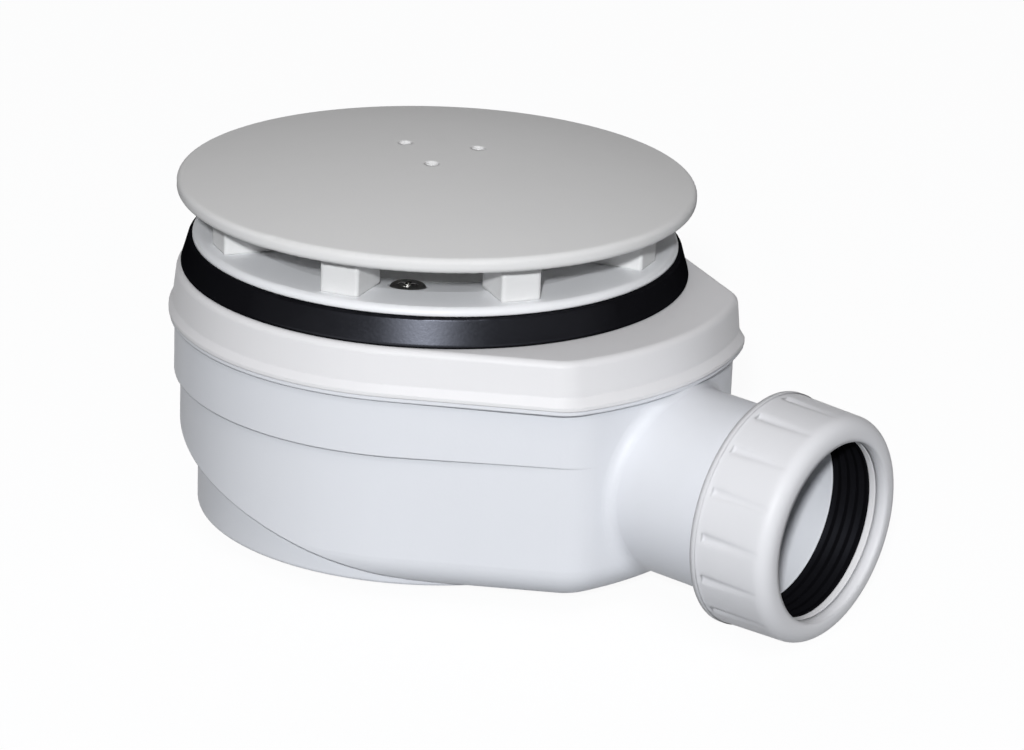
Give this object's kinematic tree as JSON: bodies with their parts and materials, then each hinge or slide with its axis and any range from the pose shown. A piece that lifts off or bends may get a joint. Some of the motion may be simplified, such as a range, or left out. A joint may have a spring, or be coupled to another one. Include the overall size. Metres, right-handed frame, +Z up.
{
  "type": "shower trap",
  "caption": "Low white shower trap with a domed cover over a clamped waste flange, a pear-shaped body with a lift-out water seal and a side outlet with a compression nut.",
  "frame": {"origin": "centre of the body's round flat underside, on the waste's vertical axis", "axes": "+Z up along the waste axis, +X towards the outlet, +Y completes the right-handed set"},
  "size_m": [0.1761, 0.1228, 0.0891],
  "materials": {
    "white_body": "satin moulded white",
    "white_insert": "satin moulded white",
    "cover_white": "fine matt moulded white",
    "black_rubber": "soft black",
    "screw_steel": "bright steel",
    "insert_brass": "turned brass"
  },
  "bodies": {
    "trap": {"body_base": "white_body", "body_top": "white_body", "screw_inserts": "insert_brass", "tray_seal_ring": "black_rubber", "waste_flange": "white_body", "flange_screws": "screw_steel", "trap_cup": "white_insert", "dip_tube": "white_insert", "dip_tube_seal": "black_rubber", "cover_cap": "cover_white", "outlet_seal": "black_rubber"},
    "slip_washer_body": {"slip_washer": "white_insert"},
    "nut_body": {"outlet_nut": "white_body"}
  },
  "joints": [
    {"name": "washer_slide", "type": "slide", "parent": "trap", "child": "slip_washer_body", "axis": [0.9993, 0, -0.0366], "range_m": [0, 0.006]},
    {"name": "nut_turn", "type": "hinge", "parent": "slip_washer_body", "child": "nut_body", "pos_m": [0.09444, 0, 0.02334], "axis": [0.9993, 0, -0.0366], "range_deg": [0, 720]}
  ],
  "couplings": [
    {"joint": "washer_slide", "follows": "nut_turn", "m_per_rad": 0.00047746}
  ]
}
